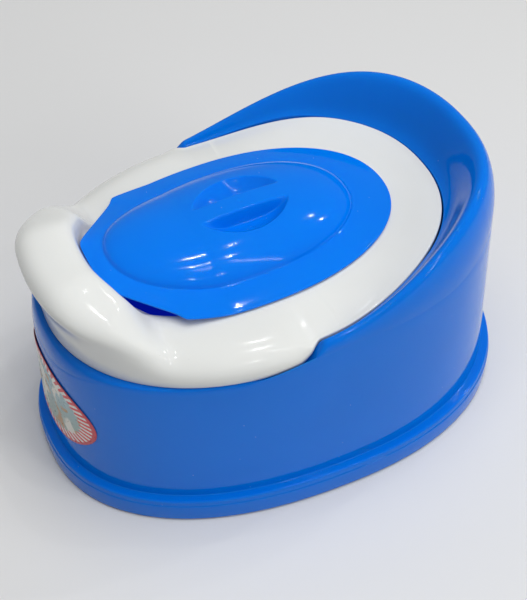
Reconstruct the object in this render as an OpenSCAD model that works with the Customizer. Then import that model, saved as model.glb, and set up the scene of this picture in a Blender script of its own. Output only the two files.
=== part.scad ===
// Child's potty chair: a one-piece outer body with a backrest, a lift-out bowl,
// a seat ring with a splash guard, and a loose lid. Front is -Y, up is +Z, and the
// origin is on the floor under the middle of the base.

/* [Base and wall] */
// Length of the base, front to back
base_length = 370; // [360:2:380]
// Width of the base at its middle
base_width = 263; // [256:1:270]
// How much the outline widens towards the back, as a share of its width
egg = 0.08; // [0.05:0.01:0.1]
// Height of the stepped base flange
flange_h = 22; // [17:1:26]
// How far the base flange stands out from the wall
flange_out = 7; // [6:0.5:8]
// How far the wall leans in over its height
wall_lean = 4; // [2:0.5:5]
// How much further the front of the wall leans in
front_lean = 2; // [0:0.5:2.5]
// Thickness of the moulded skins
skin_t = 3; // [2.6:0.1:3.4]

/* [Deck, rim and backrest] */
// Height of the deck that the seat and the bowl stand on
deck_z = 138; // [134:1:141]
// Height of the rim beside the seat
rim_z = 155; // [153:1:158]
// Height of the backrest above the low rim
back_rise = 45; // [38:1:50]
// How far the crest of the low rim lies inside the base outline
crest_in = 16; // [15:0.5:17]
// How much further in the crest of the backrest lies
back_in = 6; // [4:0.5:8]

/* [Seat ring] */
// Width of the seat ring behind its notches
seat_w = 221.6; // [219:0.2:223]
// How far the lip over the front half stands wider than that
lip_out = 4.2; // [3.6:0.2:4.8]
// Reach of the seat ring behind its centre
seat_back = 154; // [151:1:156]
// Reach of the seat ring in front of its centre
seat_front = 141.3; // [139:0.1:142]
// Height of the seat surface round the opening
seat_z = 163; // [162:0.5:163.5]
// Height of the splash guard above the lip's lower edge
guard_h = 61; // [54:1:64]
// Width of the opening in the seat
hole_w = 124; // [118:1:126]
// Thickness of the seat ring's skin
seat_t = 2.6; // [2.2:0.1:2.8]

/* [Bowl] */
// Width of the bowl's mouth
bowl_w = 142; // [138:1:144]
// Height of the bowl's underside above the floor
bowl_floor_z = 34; // [28:1:50]
// Width of the bowl's floor as a share of its mouth
bowl_taper = 0.78; // [0.7:0.01:0.84]

/* [Lid] */
// Width of the lid's flat rim
lid_w = 150.4; // [147:0.2:152]
// Height of the lid's dome above its rim
dome_h = 20.5; // [16:0.5:24]
// How far the lid's rim climbs from its edge to the dome's foot
rim_rise = 4.2; // [2:0.2:6]
// How far the lid's front tongue turns up along the guard
tongue_rise = 14.5; // [9:0.5:15]
// Width of the grip bar between the finger scoops
grip_w = 16; // [13:1:19]
// Depth of the finger scoops
scoop_d = 11; // [6:0.5:12]

/* [Label and foot strips] */
// Width of the oval label on the front wall
label_w = 114; // [90:2:118]
// Height of the oval label
label_h = 68; // [50:2:80]
// How far the foot strips stand below the base
strip_proud = 1.2; // [0.8:0.1:1.6]

/* [Hidden] */

// Shape numbers of the rounded outlines: 2 is an ellipse and more is squarer
front_n = 2.33;
back_n = 2.27;
seat_front_n = 2.08;
seat_back_n = 2.2;
lid_n = 2.15;
hole_front_n = 2.8;
hole_back_n = 2.3;

// The seat, bowl and lid share one centre, ahead of the base's
mid_y = -20;

// Stretches, from front to back, where the body's rim climbs from the deck, where the
// seat's lip climbs over that, and where the lip steps in behind the rim
rim_climb = [-27, -8];
lip_climb = [-30, -13];
lip_step = [-20, -10];

// The lid's scoops: radius of their round edge, how far out it reaches, and its middle
scoop_r = 39;
scoop_x = 28;
scoop_y = -15;

gap = 1.2;
lift_gap = 0.4;
foot_z = strip_proud;
wall_in = flange_out - 0.4;

// Angles round each piece, closer together where an outline turns sharply
ring_half = [for (a = [-90:6:-60]) a, for (a = [-57:3:-39]) a, for (a = [-36:6:-12]) a,
    for (a = [-9:1.5:6]) a, for (a = [12:6:90]) a];
bowl_half = [for (a = [-90:6:90]) a];
lid_half = [for (a = [-90:4:-54]) a, for (a = [-51:3:-36]) a, for (a = [-32:4:88]) a, 90];
ring_angles = both_sides(ring_half);
lid_angles = both_sides(lid_half);
bowl_angles = both_sides(bowl_half);

function both_sides(half) =
    concat(half, [for (i = [len(half) - 2:-1:1]) 180 - half[i]]);

function power(v, p) = sign(v) * pow(abs(v), p);
function mix(a, b, u) = a + (b - a) * u;
function clamp01(u) = min(1, max(0, u));
function ease(v, a, b) = let(u = clamp01((v - a) / (b - a))) u * u * (3 - 2 * u);
function slow_ease(v, a, b) =
    let(u = clamp01((v - a) / (b - a))) u * u * u * (6 * u * u - 15 * u + 10);
function soft_min(a, b, k) = (a + b - sqrt((a - b) * (a - b) + k * k)) / 2;
function soft_max(a, b, k) = (a + b + sqrt((a - b) * (a - b) + k * k)) / 2;
function lift(p, z) = [p[0], p[1], z];

// Closed skin over rings of points. A looped skin joins its last ring to its first.
module skin(rings, looped = false) {
    n = len(rings[0]);
    m = len(rings);
    spans = looped ? m : m - 1;
    sides = [for (k = [0:spans - 1]) for (j = [0:n - 1])
        let(a = k * n + j, b = k * n + (j + 1) % n, c = (k + 1) % m * n + (j + 1) % n,
            d = (k + 1) % m * n + j) each [[a, c, b], [a, d, c]]];
    ends = looped ? [] : [[for (j = [0:n - 1]) j], [for (j = [n - 1:-1:0]) (m - 1) * n + j]];
    polyhedron(points = [for (r = rings) each r], faces = concat(sides, ends));
}

// ---- Base outline, moved in by an inset, and the body's heights along it ----

function plan(t, inset, z = 0) =
    let(n = sin(t) > 0 ? back_n : front_n,
        extra = sin(t) > 0 ? 0 : front_lean * z / deck_z,
        y = (base_length / 2 - inset - extra) * power(sin(t), 2 / n))
    [(base_width / 2 - inset) * power(cos(t), 2 / n) * (1 + egg * 2 * y / base_length), y];

function wall_inset(z) = wall_in + wall_lean * z / deck_z;
function wall_point(t, inset, z) = lift(plan(t, inset, z), z);

// 0 along the front half, 1 along the back half
function raised(y) = ease(y, rim_climb[0], rim_climb[1]);
function crease_z(y) = deck_z - 21 + 19 * pow(clamp01((y + 174) / 24), 0.6)
    + 14 * ease(y, -80, 10) + 13 * ease(y, 90, 165);
function crest_z(y) = mix(deck_z, rim_z + back_rise * ease(y, -30, 165), raised(y));
function crest_inset(y) =
    mix(wall_inset(deck_z) + 5 - 2.8 * ease(y, -172, -120), crest_in + back_in * ease(y, 0, 165),
        raised(y));
function seat_edge_z(y) = rim_z - 0.5 + 12.5 * ease(y, 0, 105);
function rest_edge_z(y) = mix(deck_z - 0.1, seat_edge_z(y) - 0.8, raised(y));

// ---- Outlines about the shared centre ----

function around(t, a, b, n) = [a * power(cos(t), 2 / n), mid_y + b * power(sin(t), 2 / n)];
function seat_plan(t, out = 0) =
    around(t, seat_w / 2 + out, (sin(t) > 0 ? seat_back : seat_front) + out,
        sin(t) > 0 ? seat_back_n : seat_front_n);
function hole_n(t) = sin(t) > 0 ? hole_back_n : hole_front_n;
function hole_plan(t, out = 0) =
    around(t, hole_w / 2 + out, (sin(t) > 0 ? 105 : 100) + out, hole_n(t));
function bowl_plan(t, out = 0, k = 1) =
    around(t, (bowl_w / 2 + out) * k, ((sin(t) > 0 ? 96 : 112) + out) * k, 2.4);

// The seat outline's angle in line with the base outline's angle t, seen from their centre
function seat_angle(t) =
    let(p = plan(t, wall_inset(deck_z), deck_z), dy = p[1] - mid_y,
        n = dy > 0 ? seat_back_n : seat_front_n, b = dy > 0 ? seat_back : seat_front)
    atan2(power(dy / b, n / 2), power(p[0] / (seat_w / 2), n / 2));

// ---- Body ----

function body_ring_points(t) =
    let(y = plan(t, wall_inset(deck_z), deck_z)[1], zc = crease_z(y), zk = crest_z(y),
        ic = wall_inset(zc), ik = crest_inset(y), ze = rest_edge_z(y), ts = seat_angle(t),
        crest = plan(t, ik, zk), edge = seat_plan(ts, gap), inner = seat_plan(ts, gap + skin_t),
        low = min(zc, zk))
    concat(
        [for (p = [[1, foot_z], [0, foot_z + 1.5], [0.2, flange_h - 4.5],
            [1.2, flange_h - 1.6], [3.4, flange_h - 0.2], [wall_in - 0.8, flange_h],
            [wall_in, flange_h - 0.8], [wall_inset(flange_h) + 0.3, flange_h + 1.4],
            [wall_inset(60), 60], [wall_inset(100), 100], [ic, zc - 2], [ic + 0.5, zc]])
            wall_point(t, p[0], p[1])],
        [for (f = [30, 60, 90])
            wall_point(t, mix(ic + 0.5, ik, 1 - cos(f)), mix(zc, zk, sin(f)))],
        [for (p = [[0.15, 0.03], [0.35, 0.22], [0.6, 0.58], [0.82, 0.87], [1, 1]])
            lift(mix(crest, edge, p[0]), mix(zk, ze, p[1]))],
        [lift(edge, deck_z - 0.4), lift(bowl_plan(ts, 1.5), deck_z - 0.5),
            lift(bowl_plan(ts, 1.5), deck_z - skin_t), lift(inner, deck_z - skin_t - 0.1),
            lift(mix(crest, inner, 0.6), mix(zk, ze, 0.45) - skin_t - 0.5),
            wall_point(t, mix(ic, ik, 0.8) + skin_t * 0.5, mix(low, zk, 0.75) - skin_t - 0.6),
            wall_point(t, ic + skin_t, low - skin_t - 0.8)],
        [for (p = [[wall_inset(flange_h) + skin_t, flange_h], [wall_in + skin_t, foot_z],
            [wall_in + 0.2, foot_z], [wall_in + 0.2, flange_h - skin_t],
            [skin_t, flange_h - skin_t], [skin_t, foot_z]])
            wall_point(t, p[0], p[1])]);

function rings_of(columns) =
    [for (k = [0:len(columns[0]) - 1]) [for (c = columns) c[k]]];

module body_shell() {
    color([0.02, 0.42, 0.9])
        skin(rings_of([for (t = ring_angles) body_ring_points(t)]), looped = true);
}

// ---- Bowl ----

module inner_bowl() {
    bt = 2.2;
    z0 = bowl_floor_z;
    z1 = deck_z;
    color([0.02, 0.2, 0.75])
        skin([for (p = [[0, 0.5, z0], [0, bowl_taper - 0.06, z0], [0, bowl_taper, z0 + 5],
            [0, mix(bowl_taper, 1, 0.35), z0 + 30], [0, mix(bowl_taper, 1, 0.75), z1 - 30],
            [0, 1, z1 + 0.1], [6, 1, z1 + 0.1], [7, 1, z1 + 1], [6.6, 1, z1 + 2.4],
            [0, 1, z1 + 2.6], [-bt, 1, z1 + 1.6],
            [-bt, mix(bowl_taper, 1, 0.75), z1 - 30], [-bt, mix(bowl_taper, 1, 0.35), z0 + 30],
            [-bt, bowl_taper, z0 + 6.5], [-bt, bowl_taper - 0.07, z0 + bt], [-bt, 0.5, z0 + bt]])
            [for (t = bowl_angles) lift(bowl_plan(t, p[0], p[1]), p[2])]]);
}

// ---- Seat ring ----

// Degrees away from the middle of the splash guard
function off_guard(t) = abs(((t + 90 + 540) % 360) - 180);
// 1 at the guard and 0 along the sides, ending sooner on the guard's inner flank
function guard(t, k) =
    let(off = off_guard(t), inner = ease(k, 6, 11))
    (1 - slow_ease(off, 31 - 4 * inner, 57 - 15 * inner)) * (1 - 0.4 * ease(off, 12, 42));
// A share of the guard's profile, which bulges further out and grows thinner towards its ends
function guard_share(t, u) =
    let(off = off_guard(t))
    u < 0 ? u * (1 + 0.32 * ease(off, 3, 25)) * (1 - ease(off, 24, 56))
        : u < 1 ? u * (1 - 0.12 * ease(off, 20, 38)) : u;

// Share of the way from the lip to the opening, and share of the height above the lip
guard_profile = [[0, 0], [-0.01, 0.1], [-0.035, 0.27], [-0.08, 0.48], [-0.145, 0.66],
    [-0.185, 0.82], [-0.06, 0.95], [0.2, 1], [0.46, 1], [0.64, 0.96], [0.73, 0.86],
    [0.77, 0.6], [1, 0.42]];
side_profile = [[0, 0], [-0.02, 0.12], [-0.035, 0.28], [-0.02, 0.45], [0.03, 0.6], [0.1, 0.71],
    [0.2, 0.81], [0.35, 0.9], [0.55, 0.96], [0.72, 0.99], [0.86, 1], [0.96, 0.98], [1, 0.9]];
// Behind the notches the edge is thin. Heights below 0 are millimetres under that edge, those
// up to 1 are shares of the way to the seat's height, and the rest is millimetres under that
back_profile = [[0, -2.6], [0, -1.8], [0, -1], [0.005, -0.3], [0.014, 0], [0.06, 0.05],
    [0.2, 0.3], [0.42, 0.66], [0.62, 0.88], [0.78, 0.98], [0.9, 1], [0.975, 1.6], [1, 3]];
// How far the inner face of the skin lies from each of those points
skin_shift = [0.06, 0.06, 0.06, 0.06, 0.055, 0.045, 0.02, 0, -0.01, -0.02, -0.035, -0.05];
skin_drop = [0, 0, -0.2, -0.6, -1.2, -1.9, -2.5, -2.6, -2.6, -2.5, -2.4, -2.4];

// Point of the seat's top at one angle, with its skin's thickness taken off when under is true
function seat_point(t, k, under = false) =
    let(y = seat_plan(t)[1], g = guard(t, k), up = ease(y, lip_climb[0], lip_climb[1]),
        out = lip_out * (1 - ease(y, lip_step[0], lip_step[1])),
        outer = seat_plan(t, out), hole = hole_plan(t),
        z0 = deck_z + lift_gap, ze = seat_edge_z(y), p = back_profile[k],
        front_u = mix(side_profile[k][0], guard_share(t, guard_profile[k][0]), g),
        front_h = mix((seat_z - z0) * side_profile[k][1], guard_h * guard_profile[k][1], g),
        back_top = p[1] < 0 ? ze + p[1] : p[1] > 1 ? seat_z + 1 - p[1] : mix(ze, seat_z, p[1]),
        u = mix(front_u, p[0], up) + (under ? skin_shift[k] : 0),
        z = mix(z0 + front_h, back_top, up) + (under ? mix(skin_drop[k], -seat_t, up) : 0))
    lift(mix(outer, hole, u), z);

function seat_ring_points(t) =
    let(top = [for (k = [0:12]) seat_point(t, k)], z0 = deck_z + lift_gap,
        under = [for (k = [11:-2:1]) seat_point(t, k, under = true)], low = top[0][2],
        skirt = seat_plan(t, -0.6), skirt_in = seat_plan(t, -0.6 - seat_t),
        inward = hole_plan(t, seat_t))
    concat(top,
        [lift(hole_plan(t), z0 + 8), lift(hole_plan(t, 0.6), z0 + 7), lift(inward, z0 + 7.4),
            lift(inward, min(top[11][2] - 3.2, top[12][2] - 0.4))],
        under,
        [lift(skirt_in, max(z0 + 1, under[5][2] - 1.2)), lift(skirt_in, z0), lift(skirt, z0),
            lift(skirt, max(z0 + 0.05, low - 0.6))]);

module seat_ring() {
    color([0.95, 0.95, 0.94])
        skin(rings_of([for (t = ring_angles) seat_ring_points(t)]), looped = true);
}

// ---- Lid ----

// Distance from the centre to a rounded outline, straight out at angle t
function reach(t, a, b, n) =
    pow(pow(abs(cos(t)) / a, n) + pow(abs(sin(t)) / b, n), -1 / n);

function lid_reach(t) =
    let(c = abs(cos(t)), s = sin(t), oval = reach(t, lid_w / 2, s > 0 ? 119 : 137, lid_n),
        shoulder = 101.5 / max(0.01, 0.5 * c - s),
        taper = 136 / max(0.01, 1.07 * c - s), tip = 109 / max(0.01, -s))
    s > -0.2 ? oval
        : soft_min(oval, soft_max(shoulder, soft_min(taper, tip, 4), 1.5), 1.5);

function dome_reach(t) = reach(t, 53.5, sin(t) > 0 ? 89 : 96.5, 2.2);
function collar_reach(t) =
    min(reach(t, hole_w / 2 - 2.5, sin(t) > 0 ? 102 : 97, hole_n(t)), lid_reach(t) - 3);

function rim_top_z(y) = seat_z + 2.9 + tongue_rise * pow(clamp01((-55 - y) / 74), 1.3);

// Share of the full depth of the half-moon scoops: a straight wall along the bar, and a floor
// that climbs to a round edge
function scoop(x, y) =
    let(inside = clamp01((scoop_r - norm([abs(x) + scoop_r - scoop_x, y - scoop_y])) / 20))
    ease(abs(x), grip_w / 2 - 1.5, grip_w / 2 + 3) * (1 - pow(1 - inside, 2.5));

// Point at a share k of the way out across the dome, or across its skin's inner face
function dome_point(t, k, skin = 0) =
    let(r = (dome_reach(t) - skin) * k, x = r * cos(t), y = mid_y + r * sin(t),
        rise = rim_rise - skin + dome_h * pow(1 - pow(k, 2.2), 0.6))
    [x, y, rim_top_z(y) + rise - scoop_d * scoop(x, y)];

// How far the rim's top has climbed above its edge, at a distance r from the centre
function rim_climb_z(t, r) =
    let(foot = dome_reach(t), edge = lid_reach(t) - 1.6)
    rim_rise * (1 - pow(clamp01((r - foot) / (edge - foot)), 1.6));

// Point at a distance r from the centre and a height z over the lid's edge
function rim_point(t, r, z = 0) =
    let(x = r * cos(t), y = mid_y + r * sin(t)) [x, y, rim_top_z(y) + z];

module lid() {
    lt = 2.2;
    dome_steps = [for (k = [0.06:0.07:0.62]) k, 0.72, 0.84, 0.94, 0.98];
    under = [for (k = concat(dome_steps, [1])) [for (t = lid_angles) dome_point(t, k, skin = lt)]];
    collar = [for (p = [[-2.2, -lt, 1], [-2, -6, 0], [-0.5, -6, 0], [0, -lt, 1]])
        [for (t = lid_angles) let(r = collar_reach(t) + p[0])
            rim_point(t, r, p[1] + p[2] * rim_climb_z(t, r))]];
    edge = [for (p = [[-1.2, -lt], [-0.3, -1.6], [0, -0.8], [-0.6, -0.1], [-1.6, 0]])
        [for (t = lid_angles) rim_point(t, lid_reach(t) + p[0], p[1])]];
    slope = [for (k = [0.8, 0.5, 0.25, 0])
        [for (t = lid_angles) let(r = mix(dome_reach(t), lid_reach(t) - 1.6, k))
            rim_point(t, r, rim_climb_z(t, r))]];
    top = [for (i = [len(dome_steps) - 1:-1:0])
        [for (t = lid_angles) dome_point(t, dome_steps[i])]];
    color([0.02, 0.45, 0.92])
        skin(concat(under, collar, edge, slope, top));
}

// ---- Label on the front wall ----

module front_label() {
    label_z = 75;
    label_t = 0.4;
    stand_off = 0.65;
    // A point of the oval: its height gives the wall's inset, and its width the angle
    function on_wall(k, a, off) =
        let(x = k * label_w / 2 * cos(a), z = label_z + k * label_h / 2 * sin(a),
            i = wall_inset(z) - off, w = base_width / 2 - i,
            b = base_length / 2 - i - front_lean * z / deck_z,
            y = -b * pow(1 - pow(abs(x) / (w * (1 - egg * 0.93)), front_n), 1 / front_n))
        [x, y, z];
    shares = [0.25, 0.5, 0.75, 1];
    color([0.9, 0.2, 0.2])
        skin([for (i = [0:2 * len(shares) - 1])
            let(outer = i < len(shares), k = outer ? shares[i] : shares[2 * len(shares) - 1 - i])
            [for (a = [0:9:351]) on_wall(k, a, outer ? stand_off : stand_off + label_t)]]);
}

// ---- Foot strips, pushed into the open channel under the base flange ----

strip_angles = [-52, 52, 128, -128];

module foot_strip(index) {
    mid = (skin_t + wall_in + 0.2) / 2;
    stem = (wall_in + 0.2 - skin_t) / 2 - 0.5;
    head = mid - 1.4;
    section = [[-head, 0], [head, 0], [head, foot_z], [stem, foot_z], [stem, foot_z + 8],
        [-stem, foot_z + 8], [-stem, foot_z], [-head, foot_z]];
    color([0.15, 0.15, 0.16])
        skin([for (a = [-5:1:5])
            [for (p = section) lift(plan(strip_angles[index - 1] + a, mid + p[0]), p[1])]]);
}

body_shell();
inner_bowl();
seat_ring();
lid();
front_label();
foot_strip(1);  // foot_strip_1
foot_strip(2);  // foot_strip_2
foot_strip(3);  // foot_strip_3
foot_strip(4);  // foot_strip_4
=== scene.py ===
"""Looks of a child's potty chair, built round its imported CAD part.

The shapes follow the part's own outlines and heights, in millimetres and in its frame: front is -Y,
up is +Z, and the origin is on the floor under the middle of the base. Meshes are made in metres.
"""

import math

import bpy
import numpy as np
from mathutils import Matrix, Vector


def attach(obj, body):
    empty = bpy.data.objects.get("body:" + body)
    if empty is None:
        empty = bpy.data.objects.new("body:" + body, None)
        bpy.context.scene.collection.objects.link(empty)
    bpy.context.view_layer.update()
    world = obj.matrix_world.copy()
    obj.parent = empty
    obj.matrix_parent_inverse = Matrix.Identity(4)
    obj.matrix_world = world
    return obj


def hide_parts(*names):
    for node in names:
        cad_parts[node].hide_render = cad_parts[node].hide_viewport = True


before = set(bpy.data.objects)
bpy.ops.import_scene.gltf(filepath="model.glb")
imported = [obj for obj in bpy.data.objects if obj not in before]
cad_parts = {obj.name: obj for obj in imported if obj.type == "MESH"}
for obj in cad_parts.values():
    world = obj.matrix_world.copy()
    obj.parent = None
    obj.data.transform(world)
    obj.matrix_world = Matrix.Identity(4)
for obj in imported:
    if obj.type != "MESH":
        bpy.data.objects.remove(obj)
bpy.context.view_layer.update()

MM = 0.001

# ---- The part's driving dimensions, in millimetres ----
BASE_LENGTH = 370
BASE_WIDTH = 263
EGG = 0.08
FLANGE_H = 22
FLANGE_OUT = 7
WALL_LEAN = 4
FRONT_LEAN = 2
SKIN_T = 3

DECK_Z = 138
RIM_Z = 155
BACK_RISE = 45
CREST_IN = 16
BACK_IN = 6

SEAT_W = 221.6
LIP_OUT = 4.2
SEAT_BACK = 154
SEAT_FRONT = 141.3
SEAT_Z = 163
GUARD_H = 61
HOLE_W = 124
HOLE_BACK = 105
HOLE_FRONT = 100
SEAT_T = 2.6

BOWL_W = 142
BOWL_BACK = 96
BOWL_FRONT = 112
BOWL_FLOOR_Z = 34
BOWL_TAPER = 0.78
BOWL_T = 2.2

LID_W = 150.4
LID_BACK = 119
LID_FRONT = 137
LID_T = 2.2
# How far the lid stands over the seat, and how far its rim climbs to the dome's foot
LID_OVER_SEAT = 2.9
RIM_RISE = 4.2
DOME_HALF_W = 53.5
DOME_BACK = 89
DOME_FRONT = 96.5
DOME_H = 20.5
COLLAR_BACK = 102
COLLAR_FRONT = 97
# The tongue turns up along the guard. Its shoulders, its tapering sides and its tip are straight
# lines at these distances from the centre
TONGUE_RISE = 14.5
TONGUE_SHOULDER = 101.5
TONGUE_TAPER = 136
TONGUE_TIP = 109
GRIP_W = 16
# The scoops: their depth, the radius of their round edge, how far out it reaches, and its middle
SCOOP_D = 11
SCOOP_R = 39
SCOOP_X = 28
SCOOP_Y = -15
# The mark that the mould's gate leaves in the middle of the bar
GATE_D = 0.35
GATE_SPREAD = 2.2

LABEL_W = 114
LABEL_H = 68
LABEL_Z = 75
LABEL_T = 0.4
LABEL_RAYS = 46.0
LABEL_SCALLOPS = 16.0
# The label stands off the wall, and lies this share of half the length ahead of the middle
STAND_OFF = 0.65
LABEL_AHEAD = 0.93

# Shape numbers of the rounded outlines: 2 is an ellipse and more is squarer
FRONT_N = 2.33
BACK_N = 2.27
SEAT_FRONT_N = 2.08
SEAT_BACK_N = 2.2
LID_N = 2.15
HOLE_FRONT_N = 2.8
HOLE_BACK_N = 2.3
BOWL_N = 2.4

# The seat, bowl and lid share one centre, ahead of the base's
MID_Y = -20

# Stretches, from front to back, where the body's rim climbs from the deck, where the
# seat's lip climbs over that, and where the lip steps in behind the rim
RIM_CLIMB = (-27, -8)
LIP_CLIMB = (-30, -13)
LIP_STEP = (-20, -10)

GAP = 1.2
LIFT_GAP = 0.4
FOOT_Z = 1.2
WALL_IN = FLANGE_OUT - 0.4


# ---- Curves, over arrays of angles in degrees ----


def sine(t):
    return np.sin(np.radians(t))


def cosine(t):
    return np.cos(np.radians(t))


def power(v, p):
    return np.sign(v) * np.abs(v) ** p


def mix(a, b, u):
    return a + (b - a) * u


def ease(v, a, b):
    u = np.clip((v - a) / (b - a), 0, 1)
    return u * u * (3 - 2 * u)


def slow_ease(v, a, b):
    u = np.clip((v - a) / (b - a), 0, 1)
    return u * u * u * (6 * u * u - 15 * u + 10)


def soft_min(a, b, k):
    return (a + b - np.sqrt((a - b) ** 2 + k * k)) / 2


def soft_max(a, b, k):
    return (a + b + np.sqrt((a - b) ** 2 + k * k)) / 2


def lift(xy, z):
    """Points of the plane raised to a height."""
    return np.column_stack([xy, np.broadcast_to(z, len(xy))])


def both_sides(*stretches):
    """Angles round a piece: stretches of (start, end, step) from front to back, then mirrored."""
    half = np.concatenate([np.arange(a, b, step) for a, b, step in stretches] + [[90.0]])
    return np.concatenate([half, 180 - half[-2:0:-1]])


def rounded(corners, arc=5):
    """A line through (x, z, setback) corners, each rounded off from its setback on."""
    points = [corners[0][:2]]
    for before, here, after in zip(corners, corners[1:], corners[2:]):
        c = np.array(here[:2], float)
        ends = [np.array(p[:2], float) - c for p in (before, after)]
        a, b = [c + e * here[2] / np.linalg.norm(e) for e in ends]
        for f in np.linspace(0, 1, arc):
            points.append(a * (1 - f) ** 2 + c * 2 * f * (1 - f) + b * f * f)
    return points + [corners[-1][:2]]


def spline(rows, steps):
    """Rows on a smooth curve along each column, through the given rows and with more between."""
    p = np.array(rows)
    m, n = p.shape[:2]
    h = np.maximum(np.linalg.norm(np.diff(p, axis=0), axis=2), 0.05).T ** 0.7
    slope = np.diff(p, axis=0).transpose(1, 0, 2) / h[:, :, None]
    system = np.zeros((n, m, m))
    system[:, 0, 0] = system[:, -1, -1] = 1
    right = np.zeros((n, m, 3))
    for i in range(1, m - 1):
        system[:, i, i - 1] = h[:, i - 1]
        system[:, i, i] = 2 * (h[:, i - 1] + h[:, i])
        system[:, i, i + 1] = h[:, i]
        right[:, i] = 6 * (slope[:, i] - slope[:, i - 1])
    bend = np.linalg.solve(system, right).transpose(1, 0, 2)
    made = [p[0]]
    for i in range(m - 1):
        for f in np.arange(1, steps + 1) / steps:
            sag = ((1 - f) ** 3 - (1 - f)) * bend[i] + (f**3 - f) * bend[i + 1]
            made.append(mix(p[i], p[i + 1], f) + sag * h[:, i, None] ** 2 / 6)
    return made


# ---- Meshes ----


def skin_mesh(name, rows, looped=False):
    """A closed skin over rows of points in millimetres. A fan closes each end of an open one."""
    rows = np.array(rows) * MM
    m, n = rows.shape[:2]
    points = rows.reshape(-1, 3)
    spans = m if looped else m - 1
    k, j = np.meshgrid(np.arange(spans), np.arange(n), indexing="ij")
    after_k, after_j = (k + 1) % m, (j + 1) % n
    quads = np.stack([k * n + j, k * n + after_j, after_k * n + after_j, after_k * n + j], axis=-1)
    faces = quads.reshape(-1, 4).tolist()
    if not looped:
        points = np.vstack([points, rows[0].mean(0), rows[-1].mean(0)])
        for i in range(n):
            faces.append([m * n, (i + 1) % n, i])
            faces.append([m * n + 1, (m - 1) * n + i, (m - 1) * n + (i + 1) % n])
    mesh = bpy.data.meshes.new(name)
    mesh.from_pydata(points.tolist(), [], faces)
    volume = sum(Vector.dot(p.center, p.normal) * p.area for p in mesh.polygons)
    if volume < 0:
        mesh.flip_normals()
    mesh.shade_smooth()
    mesh.set_sharp_from_angle(angle=math.radians(50))
    piece = bpy.data.objects.new(name, mesh)
    bpy.context.scene.collection.objects.link(piece)
    return piece


# ---- Base outline, moved in by an inset, and the body's heights along it ----


def plan(t, inset, z=0):
    back = sine(t) > 0
    n = np.where(back, BACK_N, FRONT_N)
    extra = np.where(back, 0, FRONT_LEAN * z / DECK_Z)
    y = (BASE_LENGTH / 2 - inset - extra) * power(sine(t), 2 / n)
    x = (BASE_WIDTH / 2 - inset) * power(cosine(t), 2 / n) * (1 + EGG * 2 * y / BASE_LENGTH)
    return np.column_stack([x, y])


def wall_inset(z):
    return WALL_IN + WALL_LEAN * z / DECK_Z


def wall_point(t, inset, z):
    return lift(plan(t, inset, z), z)


def raised(y):
    """0 along the front half, 1 along the back half."""
    return ease(y, *RIM_CLIMB)


def crease_z(y):
    front = 19 * np.clip((y + 174) / 24, 0, 1) ** 0.6
    return DECK_Z - 21 + front + 14 * ease(y, -80, 10) + 13 * ease(y, 90, 165)


def crest_z(y):
    return mix(DECK_Z, RIM_Z + BACK_RISE * ease(y, -30, 165), raised(y))


def crest_inset(y):
    front = wall_inset(DECK_Z) + 5 - 2.8 * ease(y, -172, -120)
    return mix(front, CREST_IN + BACK_IN * ease(y, 0, 165), raised(y))


def seat_edge_z(y):
    return RIM_Z - 0.5 + 12.5 * ease(y, 0, 105)


def rest_edge_z(y):
    return mix(DECK_Z - 0.1, seat_edge_z(y) - 0.8, raised(y))


# ---- Outlines about the shared centre ----


def around(t, a, b, n):
    return np.column_stack([a * power(cosine(t), 2 / n), MID_Y + b * power(sine(t), 2 / n)])


def seat_plan(t, out=0):
    back = sine(t) > 0
    b = np.where(back, SEAT_BACK, SEAT_FRONT) + out
    return around(t, SEAT_W / 2 + out, b, np.where(back, SEAT_BACK_N, SEAT_FRONT_N))


def hole_plan(t, out=0):
    back = sine(t) > 0
    b = np.where(back, HOLE_BACK, HOLE_FRONT) + out
    return around(t, HOLE_W / 2 + out, b, np.where(back, HOLE_BACK_N, HOLE_FRONT_N))


def bowl_plan(t, out=0, k=1):
    b = np.where(sine(t) > 0, BOWL_BACK, BOWL_FRONT) + out
    return around(t, (BOWL_W / 2 + out) * k, b * k, BOWL_N)


def seat_angle(t):
    """The seat outline's angle in line with the base outline's angle, seen from their centre."""
    p = plan(t, wall_inset(DECK_Z), DECK_Z)
    dy = p[:, 1] - MID_Y
    n = np.where(dy > 0, SEAT_BACK_N, SEAT_FRONT_N)
    b = np.where(dy > 0, SEAT_BACK, SEAT_FRONT)
    return np.degrees(np.arctan2(power(dy / b, n / 2), power(p[:, 0] / (SEAT_W / 2), n / 2)))


# ---- Body shell ----


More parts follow.
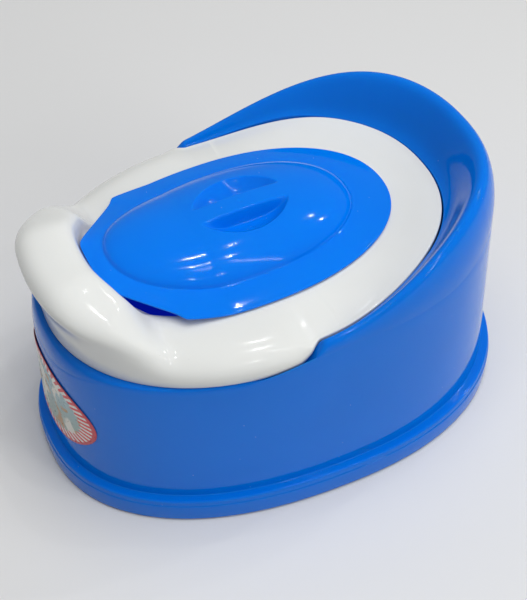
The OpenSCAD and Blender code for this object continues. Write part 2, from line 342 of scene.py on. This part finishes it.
def body_shell():
    """The outer body: stepped flange, wall, rolled rim and backrest, deck, and hollow underside."""
    t = both_sides((-90, -12, 1.5), (-12, 9, 0.3), (9, 90, 1.5))
    ts = seat_angle(t)
    y = plan(t, wall_inset(DECK_Z), DECK_Z)[:, 1]
    crease, top, edge_z = crease_z(y), crest_z(y), rest_edge_z(y)
    wall, crest_in = wall_inset(crease), crest_inset(y)
    foot_top = FLANGE_H + 3
    foot = rounded([(SKIN_T, FOOT_Z, 0), (0, FOOT_Z, 1.3), (0, FLANGE_H - 5.4, 0.5),
                    (0.7, FLANGE_H - 5, 0.5), (0.8, FLANGE_H, 1.7),
                    (wall_inset(FLANGE_H), FLANGE_H, 1.1), (wall_inset(foot_top), foot_top, 0)])
    rows = [wall_point(t, inset, z) for inset, z in foot]
    for share in np.linspace(0.1, 1, 10):
        z = mix(foot_top, crease - 2.6, share)
        rows.append(wall_point(t, wall_inset(z), z))
    low, ledge = np.minimum(crease, top), 0.5 * (1 - raised(y))
    rows += [wall_point(t, wall + step * ledge, crease + z)
             for step, z in ((0, -2), (0.1, -1.5), (0.3, -0.9), (0.64, -0.3), (0.92, 0.3))]
    roll = [wall_point(t, mix(wall + ledge, crest_in, 1 - cosine(a)), mix(crease, top, sine(a)))
            for a in np.array([4, 15, 30, 45, 60, 75, 90])]
    crest = roll[-1][:, :2]
    lip = seat_plan(ts, GAP + 0.6)
    roll += [lift(mix(crest, lip, u), mix(top, edge_z, v))
             for u, v in ((0.15, 0.03), (0.35, 0.22), (0.6, 0.58), (0.82, 0.87), (1, 1))]
    rows += spline(roll, 6)
    drop = np.minimum(0.6, (edge_z - DECK_Z + 0.4) / 2)
    rows += [lift(seat_plan(ts, GAP + 0.6 * (1 - f) ** 2), edge_z - drop * f * f)
             for f in (0.33, 0.66, 1)]
    edge, hole = seat_plan(ts, GAP), bowl_plan(ts, 1.5)
    rows += [lift(edge, mix(edge_z - drop, DECK_Z - 0.3, f)) for f in (0.3, 0.7, 1)]
    rows += [lift(mix(edge, hole, f), DECK_Z - 0.4 - 0.1 * f) for f in (0.02, 0.3, 0.6, 0.98)]
    rows += [lift(hole, DECK_Z - 0.9), lift(hole, DECK_Z - SKIN_T)]
    inner = seat_plan(ts, GAP + SKIN_T)
    rows += [lift(mix(hole, inner, f), DECK_Z - SKIN_T - 0.1 * f) for f in (0.02, 0.5, 0.98)]
    shoulder_in, shoulder_z = mix(wall, crest_in, 0.8) + SKIN_T / 2, mix(low, top, 0.75) - SKIN_T - 0.6
    rows += [lift(mix(crest, inner, 0.6), mix(top, edge_z, 0.45) - SKIN_T - 0.5),
             wall_point(t, shoulder_in, shoulder_z), wall_point(t, wall + SKIN_T, low - SKIN_T - 0.8)]
    under = rounded([(wall_inset(FLANGE_H) + SKIN_T, FLANGE_H, 0), (WALL_IN + SKIN_T, FOOT_Z, 0.6),
                     (WALL_IN + 0.2, FOOT_Z, 0.6), (WALL_IN + 0.2, FLANGE_H - SKIN_T, 1),
                     (SKIN_T, FLANGE_H - SKIN_T, 1), (SKIN_T, FOOT_Z + 0.2, 0)], arc=3)
    rows += [wall_point(t, inset, z) for inset, z in under]
    return skin_mesh("BodyShell", rows, looped=True)


# ---- Bowl ----


def inner_bowl():
    """The lift-out bowl with its turned-down rim."""
    t = both_sides((-90, 90, 2))
    floor, top = BOWL_FLOOR_Z, DECK_Z
    low, high = mix(BOWL_TAPER, 1, 0.35), mix(BOWL_TAPER, 1, 0.75)
    # Each point is how far out of the mouth's outline it lies, a scale on that, and a height
    outside = [(0, 0.1, floor + 0.6), (0, 0.4, floor + 0.5), (0, BOWL_TAPER - 0.1, floor + 0.3),
               (0, BOWL_TAPER - 0.03, floor + 1.4), (0, BOWL_TAPER, floor + 5), (0, low, floor + 30),
               (0, high, top - 30), (0, 1, top - 0.2)]
    rim = [(0.6, 1, top + 0.1), (5.6, 1, top + 0.1), (6.6, 1, top + 0.4), (6.9, 1, top + 1.2),
           (6.4, 1, top + 2.2), (5.4, 1, top + 2.6), (0.2, 1, top + 2.6), (-1.2, 1, top + 2.3),
           (-BOWL_T, 1, top + 1.2)]
    inside = [(-BOWL_T, 0.995, top - 2), (-BOWL_T, high, top - 30), (-BOWL_T, low, floor + 30),
              (-BOWL_T, BOWL_TAPER, floor + 8), (-BOWL_T, BOWL_TAPER - 0.035, floor + 4),
              (-BOWL_T, BOWL_TAPER - 0.11, floor + BOWL_T + 0.3), (-BOWL_T, 0.4, floor + BOWL_T),
              (-BOWL_T, 0.1, floor + BOWL_T)]
    rows = []
    for profile in (outside, rim, inside):
        rows += spline([lift(bowl_plan(t, out, k), z) for out, k, z in profile], 4)
    return skin_mesh("InnerBowl", rows)


# ---- Seat ring ----


def off_guard(t):
    """Degrees away from the middle of the splash guard."""
    return np.abs((t + 630) % 360 - 180)


def guard(t, k):
    """1 at the guard and 0 along the sides, ending sooner on the guard's inner flank."""
    off, inner = off_guard(t), ease(k, 6, 11)
    return (1 - slow_ease(off, 31 - 4 * inner, 57 - 15 * inner)) * (1 - 0.4 * ease(off, 12, 42))


def guard_share(t, u):
    """A share of the guard's profile, which bulges out and grows thinner towards its ends."""
    off = off_guard(t)
    if u < 0:
        return u * (1 + 0.32 * ease(off, 3, 25)) * (1 - ease(off, 24, 56))
    if u < 1:
        return u * (1 - 0.12 * ease(off, 20, 38))
    return np.full(len(t), u)


# Share of the way from the lip to the opening, and share of the height above the lip
GUARD_PROFILE = [(0, 0), (-0.01, 0.1), (-0.035, 0.27), (-0.08, 0.48), (-0.145, 0.66),
                 (-0.185, 0.82), (-0.06, 0.95), (0.2, 1), (0.46, 1), (0.64, 0.96), (0.73, 0.86),
                 (0.77, 0.6), (1, 0.42)]
SIDE_PROFILE = [(0, 0), (-0.02, 0.12), (-0.035, 0.28), (-0.02, 0.45), (0.03, 0.6), (0.1, 0.71),
                (0.2, 0.81), (0.35, 0.9), (0.55, 0.96), (0.72, 0.99), (0.86, 1), (0.96, 0.98), (1, 0.9)]
# Behind the notches the edge is thin. Heights below 0 are millimetres under that edge, those
# up to 1 are shares of the way to the seat's height, and the rest is millimetres under that
BACK_PROFILE = [(0, -2.6), (0, -1.8), (0, -1), (0.005, -0.3), (0.014, 0), (0.06, 0.05), (0.2, 0.3),
                (0.42, 0.66), (0.62, 0.88), (0.78, 0.98), (0.9, 1), (0.975, 1.6), (1, 3)]
# How far the inner face of the skin lies from each of those points
SKIN_SHIFT = [0.06, 0.06, 0.06, 0.06, 0.055, 0.045, 0.02, 0, -0.01, -0.02, -0.035, -0.05]
SKIN_DROP = [0, 0, -0.2, -0.6, -1.2, -1.9, -2.5, -2.6, -2.6, -2.5, -2.4, -2.4]


def seat_point(t, k, under=False):
    """The seat's top at one step of its profile, or the inner face of its skin there."""
    y = seat_plan(t)[:, 1]
    bottom, edge_z = DECK_Z + LIFT_GAP, seat_edge_z(y)
    share, up = guard(t, k), ease(y, *LIP_CLIMB)
    outer, hole = seat_plan(t, LIP_OUT * (1 - ease(y, *LIP_STEP))), hole_plan(t)
    front_u = mix(SIDE_PROFILE[k][0], guard_share(t, GUARD_PROFILE[k][0]), share)
    front_h = mix((SEAT_Z - bottom) * SIDE_PROFILE[k][1], GUARD_H * GUARD_PROFILE[k][1], share)
    back_u, back_h = BACK_PROFILE[k]
    if back_h < 0:
        back_top = edge_z + back_h
    elif back_h > 1:
        back_top = SEAT_Z + 1 - back_h
    else:
        back_top = mix(edge_z, SEAT_Z, back_h)
    u, z = mix(front_u, back_u, up), mix(bottom + front_h, back_top, up)
    if under:
        u, z = u + SKIN_SHIFT[k], z + mix(SKIN_DROP[k], -SEAT_T, up)
    return lift(mix(outer, hole, u[:, None]), z)


def seat_ring():
    """The seat with its splash guard: a thin skin, open underneath."""
    t = both_sides((-90, -62, 1.5), (-62, -24, 0.75), (-24, -12, 1.5), (-12, 9, 0.35),
                   (9, 90, 1.5))
    bottom = DECK_Z + LIFT_GAP
    points = [seat_point(t, k) for k in range(13)]
    under = [seat_point(t, k, under=True) for k in range(11, 0, -2)]
    rows = spline(points, 7)
    brow = points[12][:, 2]
    hole, turned, inward = hole_plan(t), hole_plan(t, 0.6), hole_plan(t, SEAT_T)
    rows += [lift(hole, brow - 0.5), lift(hole, brow - 2), lift(hole, bottom + 8.4),
             lift(turned, bottom + 7.2), lift(inward, bottom + 7.4),
             lift(inward, np.minimum(points[11][:, 2] - 3.2, brow - 0.4))]
    rows += under
    skirt, skirt_in, low = seat_plan(t, -0.6), seat_plan(t, -0.6 - SEAT_T), points[0][:, 2]
    rows += [lift(skirt_in, np.maximum(bottom + 1, under[3][:, 2] - 1.2)), lift(skirt_in, bottom),
             lift(skirt, bottom), lift(skirt, np.maximum(bottom + 0.05, low - 0.6))]
    return skin_mesh("SeatRing", rows, looped=True)


# ---- Lid ----


def reach(t, a, b, n):
    """Distance from the centre to a rounded outline, straight out at angle t."""
    return ((np.abs(cosine(t)) / a) ** n + (np.abs(sine(t)) / b) ** n) ** (-1 / n)


def lid_reach(t):
    c, s = np.abs(cosine(t)), sine(t)
    oval = reach(t, LID_W / 2, np.where(s > 0, LID_BACK, LID_FRONT), LID_N)
    shoulder = TONGUE_SHOULDER / np.maximum(0.01, 0.5 * c - s)
    taper = TONGUE_TAPER / np.maximum(0.01, 1.07 * c - s)
    tip = TONGUE_TIP / np.maximum(0.01, -s)
    tongue = soft_min(oval, soft_max(shoulder, soft_min(taper, tip, 4), 1.5), 1.5)
    return np.where(s > -0.2, oval, tongue)


def dome_reach(t):
    return reach(t, DOME_HALF_W, np.where(sine(t) > 0, DOME_BACK, DOME_FRONT), 2.2)


def collar_reach(t):
    back = sine(t) > 0
    oval = reach(t, HOLE_W / 2 - 2.5, np.where(back, COLLAR_BACK, COLLAR_FRONT),
                 np.where(back, HOLE_BACK_N, HOLE_FRONT_N))
    return np.minimum(oval, lid_reach(t) - 3)


def rim_top_z(y):
    return SEAT_Z + LID_OVER_SEAT + TONGUE_RISE * np.clip((-55 - y) / 74, 0, 1) ** 1.3


def scoop(x, y):
    """Share of the scoops' full depth: straight down along the bar, and climbing outward."""
    inside = np.clip((SCOOP_R - np.hypot(np.abs(x) + SCOOP_R - SCOOP_X, y - SCOOP_Y)) / 20, 0, 1)
    return ease(np.abs(x), GRIP_W / 2 - 1, GRIP_W / 2 + 3) * (1 - (1 - inside) ** 2.5)


def dome_point(t, k, skin=0):
    """A point at a share k of the way out across the dome, or across its skin's inner face."""
    r = (dome_reach(t) - skin) * k
    x, y = r * cosine(t), MID_Y + r * sine(t)
    gate = GATE_D * np.exp(-(x**2 + (y - SCOOP_Y) ** 2) / GATE_SPREAD)
    rise = RIM_RISE - skin + DOME_H * (1 - k**2.2) ** 0.6
    return np.column_stack([x, y, rim_top_z(y) + rise - SCOOP_D * scoop(x, y) - gate])


def rim_climb_z(t, r):
    """How far the rim's top has climbed above its edge, at a distance r from the centre."""
    foot, edge = dome_reach(t), lid_reach(t) - 1.6
    return RIM_RISE * (1 - np.clip((r - foot) / (edge - foot), 0, 1) ** 1.6)


def rim_point(t, r, z=0):
    x, y = r * cosine(t), MID_Y + r * sine(t)
    return np.column_stack([x, y, rim_top_z(y) + z])


def lid():
    """The loose lid: a dome with two finger scoops, a rim with a tongue, and a collar underneath."""
    t = both_sides((-90, -56, 1.5), (-56, -28, 0.5), (-28, 90, 1.5))
    dome, edge, collar = dome_reach(t), lid_reach(t), collar_reach(t)
    shares = 1 - np.linspace(0.985, 0.03, 90) ** 1.5
    rows = [dome_point(t, k, skin=LID_T) for k in np.append(shares[::2], 1)]
    rows += [rim_point(t, collar + out, z + share * rim_climb_z(t, collar + out))
             for out, z, share in ((-2.2, -LID_T, 1), (-2.2, -5.6, 0), (-1.8, -6, 0), (-0.9, -6, 0),
                                   (-0.5, -5.6, 0), (0, -LID_T, 1))]
    rows += [rim_point(t, edge + out, z)
             for out, z in ((-1.4, -LID_T), (-0.5, -1.9), (-0.1, -1.4), (0, -0.9), (-0.15, -0.45),
                            (-0.6, -0.1), (-1.6, 0.05))]
    climb = [mix(edge - 1.6, dome, f) for f in (0.12, 0.25, 0.4, 0.55, 0.7, 0.82, 0.92)]
    rows += [rim_point(t, r, rim_climb_z(t, r)) for r in climb]
    rows += [rim_point(t, dome + 0.3, RIM_RISE + 0.15)]
    rows += [dome_point(t, k) for k in (0.998, 0.994, *(1 - np.linspace(0.05, 0.993, 150) ** 1.5))]
    return skin_mesh("Lid", rows)


# ---- Label ----


def front_label():
    """A thin oval sticker on the front wall."""
    a = np.arange(0, 360, 3.0)
    outline = [(0.02, 0), (0.99, 0), (1, 0.15), (1, 0.8), (0.995, 0.95), (0.98, 1), (0.02, 1)]
    rows = []
    for (k0, depth0), (k1, depth1) in zip(outline, outline[1:]):
        steps = 14 if abs(k1 - k0) > 0.5 else 1
        for f in np.arange(steps) / steps:
            k, out = mix(k0, k1, f), STAND_OFF + LABEL_T * mix(depth0, depth1, f)
            x, z = k * LABEL_W / 2 * cosine(a), LABEL_Z + k * LABEL_H / 2 * sine(a)
            inset = wall_inset(z) - out
            width = (BASE_WIDTH / 2 - inset) * (1 - EGG * LABEL_AHEAD)
            length = BASE_LENGTH / 2 - inset - FRONT_LEAN * z / DECK_Z
            y = -length * (1 - (np.abs(x) / width) ** FRONT_N) ** (1 / FRONT_N)
            rows.append(np.column_stack([x, y, z]))
    return skin_mesh("FrontLabel", rows)


# ---- Materials ----


class Graph:
    """Short calls for making a material's nodes."""

    def __init__(self, name):
        self.material = bpy.data.materials.new(name)
        self.material.use_nodes = True
        self.tree = self.material.node_tree
        self.shader = self.tree.nodes["Principled BSDF"]
        self.place = self.node("ShaderNodeTexCoord").outputs["Object"]

    def node(self, kind, **settings):
        made = self.tree.nodes.new(kind)
        for key, value in settings.items():
            setattr(made, key, value)
        return made

    def link(self, source, target):
        if isinstance(source, bpy.types.NodeSocket):
            self.tree.links.new(source, target)
        else:
            target.default_value = source

    def math(self, operation, *values):
        made = self.node("ShaderNodeMath", operation=operation)
        for value, target in zip(values, made.inputs):
            self.link(value, target)
        return made.outputs[0]

    def noise(self, scale, detail=2, stretch=(1, 1, 1)):
        mapping = self.node("ShaderNodeMapping")
        self.link(self.place, mapping.inputs["Vector"])
        mapping.inputs["Scale"].default_value = stretch
        made = self.node("ShaderNodeTexNoise")
        self.link(mapping.outputs[0], made.inputs["Vector"])
        made.inputs["Scale"].default_value = scale
        made.inputs["Detail"].default_value = detail
        return made.outputs["Fac"]

    def between(self, value, low, high, out_low=0, out_high=1):
        """Value from low to high, turned smoothly into out_low to out_high."""
        made = self.node("ShaderNodeMapRange", interpolation_type="SMOOTHSTEP")
        for source, target in zip((value, low, high, out_low, out_high), made.inputs):
            self.link(source, target)
        return made.outputs[0]

    def blend(self, share, a, b):
        made = self.node("ShaderNodeMix", data_type="RGBA")
        self.link(share, made.inputs["Factor"])
        self.link(a, made.inputs[6])
        self.link(b, made.inputs[7])
        return made.outputs[2]

    def bump(self, height, distance, normal=None):
        made = self.node("ShaderNodeBump")
        made.inputs["Strength"].default_value = 1
        made.inputs["Distance"].default_value = distance
        self.link(height, made.inputs["Height"])
        if normal is not None:
            self.link(normal, made.inputs["Normal"])
        return made.outputs[0]

    def specks(self, scale, size, share):
        """1 in scattered small spots, and 0 elsewhere."""
        cells = self.node("ShaderNodeTexVoronoi")
        self.link(self.place, cells.inputs["Vector"])
        cells.inputs["Scale"].default_value = scale
        near = self.between(cells.outputs["Distance"], size * 0.6, size, 1, 0)
        chance = self.node("ShaderNodeSeparateColor")
        self.link(cells.outputs["Color"], chance.inputs[0])
        return self.math("MULTIPLY", near, self.math("LESS_THAN", chance.outputs[0], share))

    def set(self, **values):
        for key, value in values.items():
            self.link(value, self.shader.inputs[key.replace("_", " ")])


def plastic(name, colour, dust, roughness, waves, depth, tint, inner_light=0):
    """Moulded glossy plastic: slow waves, a fine grain, faint scuffs and a little dust.

    Light sinks in by a share called depth and comes back tinted. The inner light stands in for what
    shines through a thin wall into a closed space.
    """
    g = Graph(name)
    cloud = g.between(g.noise(9, 3), 0.35, 0.65)
    shade = g.blend(cloud, tuple(c * 0.96 for c in colour) + (1,), colour + (1,))
    scuffs = g.between(g.noise(60, 4, (1, 9, 1)), 0.66, 0.74)
    spots = g.math("MAXIMUM", g.specks(210, 0.09, 0.05), g.specks(90, 0.04, 0.08))
    g.set(Base_Color=g.blend(g.math("MULTIPLY", spots, 0.3), shade, dust + (1,)),
          Roughness=g.math("ADD", g.math("MULTIPLY_ADD", scuffs, 0.10, roughness),
                           g.math("MULTIPLY", spots, 0.25)),
          Normal=g.bump(g.noise(11, 1), waves, g.bump(g.noise(520, 3), 0.000012)),
          IOR=1.5, Specular_IOR_Level=0.25, Subsurface_Weight=depth,
          Subsurface_Radius=tint, Subsurface_Scale=0.004)
    if inner_light:
        g.set(Emission_Color=INNER_BLUE + (1,), Emission_Strength=inner_light)
    return g.material


def rubber():
    """Dull dark rubber with a fine grain."""
    g = Graph("FootRubber")
    grain = g.noise(900, 4)
    colour = g.blend(g.noise(40, 3), (0.012, 0.012, 0.013, 1), (0.03, 0.03, 0.032, 1))
    g.set(Base_Color=colour, Roughness=g.between(grain, 0.3, 0.7, 0.62, 0.85),
          Normal=g.bump(grain, 0.00012))
    return g.material


def label_print():
    """A printed sticker: a red edge line and a ring of rays round a soft, mottled field."""
    g = Graph("LabelPrint")
    xyz = g.node("ShaderNodeSeparateXYZ")
    g.link(g.place, xyz.inputs[0])
    u = g.math("DIVIDE", xyz.outputs[0], LABEL_W / 2 * MM)
    v = g.math("DIVIDE", g.math("SUBTRACT", xyz.outputs[2], LABEL_Z * MM), LABEL_H / 2 * MM)
    out = g.math("SQRT", g.math("ADD", g.math("MULTIPLY", u, u), g.math("MULTIPLY", v, v)))
    turn = g.math("ARCTAN2", v, u)

    sky = g.blend(g.between(v, -0.6, 0.6), (0.36, 0.45, 0.40, 1), (0.34, 0.50, 0.55, 1))
    clouds = g.blend(g.between(g.noise(46, 2), 0.5, 0.56), sky, (0.80, 0.78, 0.70, 1))
    brown = g.between(g.noise(75, 1, (1, 1, 1.6)), 0.62, 0.66)
    field = g.blend(brown, clouds, (0.52, 0.30, 0.14, 1))

    stripe = g.between(g.math("SINE", g.math("MULTIPLY", turn, LABEL_RAYS)), -0.15, 0.15)
    rays = g.blend(stripe, (0.78, 0.76, 0.72, 1), (0.72, 0.04, 0.05, 1))
    bow = g.math("ABSOLUTE", g.math("SINE", g.math("MULTIPLY", turn, LABEL_SCALLOPS)))
    scallop = g.math("MULTIPLY_ADD", bow, 0.05, 0.74)
    colour = g.blend(g.between(g.math("SUBTRACT", out, scallop), -0.01, 0.01), field, rays)
    colour = g.blend(g.between(out, 0.94, 0.955), colour, (0.55, 0.05, 0.07, 1))
    g.set(Base_Color=colour, Roughness=g.between(g.noise(300, 2), 0.3, 0.7, 0.26, 0.36),
          Normal=g.bump(g.noise(30, 2), 0.0002), IOR=1.5)
    return g.material


def floor_finish(name, colour, roughness):
    """A plain pale surface, very slightly cloudy and uneven."""
    g = Graph(name)
    shade = g.blend(g.noise(3, 3), tuple(c * 0.97 for c in colour) + (1,), colour + (1,))
    g.set(Base_Color=shade, Roughness=roughness, Normal=g.bump(g.noise(60, 3), 0.0002))
    return g.material


# ---- The object ----

BLUE_TINT = (0.2, 0.5, 1.0)
WHITE_TINT = (1.0, 0.9, 0.8)
INNER_BLUE = (0.0, 0.012, 0.30)
PALE_DUST = (0.55, 0.62, 0.7)
GREY_DUST = (0.35, 0.35, 0.33)
# The body is the same plastic as the lid. Its darker blue is painted shade that stands in for the shade
# on its side walls
body_blue = plastic("BodyBlue", (0.0, 0.165, 0.70), PALE_DUST, 0.08, 0.0011, 0.3, BLUE_TINT)
lid_blue = plastic("LidBlue", (0.0, 0.19, 0.83), PALE_DUST, 0.08, 0.0008, 0.3, BLUE_TINT)
bowl_blue = plastic("BowlBlue", (0.0, 0.07, 0.80), PALE_DUST, 0.2, 0.0008, 0.3, BLUE_TINT,
                    inner_light=0.3)
seat_white = plastic("SeatWhite", (0.75, 0.76, 0.74), GREY_DUST, 0.12, 0.0009, 0.15, WHITE_TINT)

for make, node, body, finish, slot in (
    (body_shell, "body_shell", "body", body_blue, "body_blue"),
    (inner_bowl, "inner_bowl", "bowl", bowl_blue, "bowl_blue"),
    (seat_ring, "seat_ring", "seat", seat_white, "seat_white"),
    (lid, "lid", "lid", lid_blue, "lid_blue"),
    (front_label, "front_label", "body", label_print(), "label_print"),
):
    piece = make()
    piece.data.materials.append(finish)
    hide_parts(node)
    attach(piece, body)

foot_rubber = rubber()
for name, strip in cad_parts.items():
    if name.startswith("foot_strip"):
        strip.data.materials.clear()
        strip.data.materials.append(foot_rubber)

# ---- Stage, lights and camera ----


def flat_square(name, half):
    mesh = bpy.data.meshes.new(name)
    corners = [(-half, -half, 0), (half, -half, 0), (half, half, 0), (-half, half, 0)]
    mesh.from_pydata(corners, [], [(0, 1, 2, 3)])
    made = bpy.data.objects.new(name, mesh)
    bpy.context.scene.collection.objects.link(made)
    return made


floor = flat_square("Floor", 6)
floor.data.materials.append(floor_finish("FloorPale", (0.74, 0.74, 0.735), 0.45))


def lamp(name, place, size, watts, mirrored=True, length=None):
    """A square lamp, or a strip of some length, that points at the middle of the object."""
    data = bpy.data.lights.new(name, "AREA")
    data.shape = "RECTANGLE" if length else "SQUARE"
    data.size, data.size_y, data.energy = size, length or size, watts
    made = bpy.data.objects.new(name, data)
    made.location = place
    made.visible_glossy = mirrored
    made.rotation_euler = (Vector((0, 0, 0.1)) - made.location).to_track_quat("-Z", "Y").to_euler()
    bpy.context.scene.collection.objects.link(made)


# Two big soft lamps light the object. The strip and the small spots make the highlights
lamp("SoftKey", (0.5, 0.35, 4.2), 3.2, 112, mirrored=False)
lamp("SoftRight", (2.6, 1.4, 1.2), 1.6, 22, mirrored=False)
lamp("StripRight", (1.1, 0.5, 1.5), 0.05, 2.4, length=1.6)
lamp("SpotRight", (1.2, 0.0, 1.6), 0.035, 0.9)
lamp("SpotOverA", (0.3, 0.26, 1.96), 0.04, 1.6)
lamp("SpotOverB", (-0.16, 0.34, 1.96), 0.03, 1.0)
lamp("SpotBehindA", (0.02, 1.32, 1.5), 0.05, 1.8)
lamp("SpotBehindB", (-0.26, 1.14, 1.62), 0.04, 1.2)

world = bpy.data.worlds.new("Studio")
world.use_nodes = True
sky = world.node_tree.nodes["Background"]
sky.inputs["Color"].default_value = (0.74, 0.75, 0.76, 1)
sky.inputs["Strength"].default_value = 0.32
bpy.context.scene.world = world
bpy.context.scene.view_settings.view_transform = "Standard"


def photo_camera():
    """A camera that looks down on the side and front, rolled slightly, as in the reference view."""
    azimuth, elevation, roll = (math.radians(a) for a in (64.928, 47.34, -1.951))
    target, distance = Vector((-16.9, 8.2, 60)) * MM, 990.9 * MM
    back = Vector((math.sin(azimuth) * math.cos(elevation), -math.cos(azimuth) * math.cos(elevation),
                   math.sin(elevation)))
    right = (-back).cross(Vector((0, 0, 1))).normalized()
    up = right.cross(-back)
    across = right * math.cos(roll) + up * math.sin(roll)
    upward = up * math.cos(roll) - right * math.sin(roll)
    data = bpy.data.cameras.new("Camera")
    data.lens = 75.27
    made = bpy.data.objects.new("Camera", data)
    axes = Matrix((across, upward, back)).transposed().to_4x4()
    made.matrix_world = Matrix.Translation(target + back * distance) @ axes
    bpy.context.scene.collection.objects.link(made)
    bpy.context.scene.camera = made


photo_camera()
